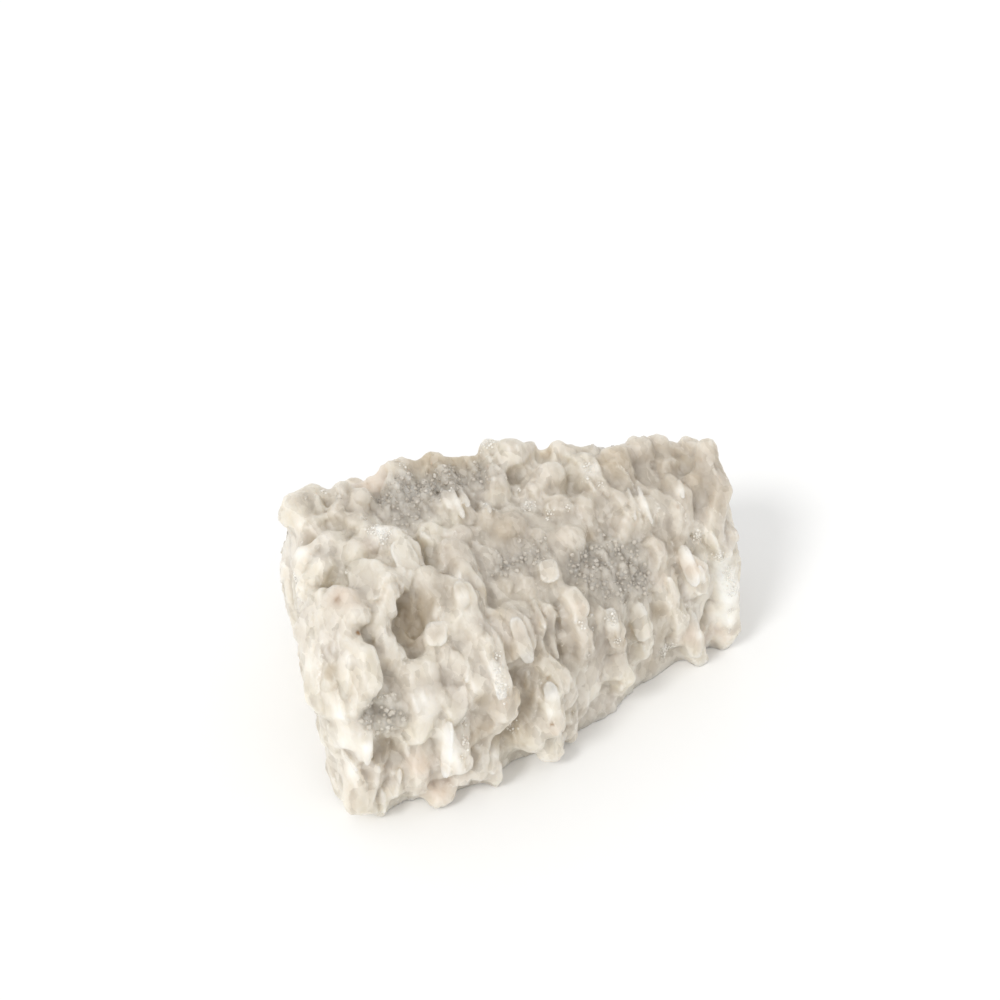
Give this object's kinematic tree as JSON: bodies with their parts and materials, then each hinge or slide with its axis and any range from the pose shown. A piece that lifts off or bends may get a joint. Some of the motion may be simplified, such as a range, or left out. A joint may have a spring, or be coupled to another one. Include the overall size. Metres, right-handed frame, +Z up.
{
  "type": "quartz crystal mass",
  "caption": "Bladed milky quartz specimen: parallel plates grown together into one oblong mass with ribbed front, lumpy crown and sparkling rims, resting on a broken flat base.",
  "frame": {"origin": "centre of the footprint on the ground, under the middle of the bounding box", "axes": "+Z up, +X along the length of the mass towards its narrow end, -Y out of the ribbed front"},
  "size_m": [0.1576, 0.1038, 0.0677],
  "materials": {
    "milky_quartz": "milky translucent quartz, satin to glossy on the plates, with sparkling druse along their rims"
  },
  "bodies": {
    "root": {"quartz_mass": "milky_quartz"}
  },
  "joints": []
}
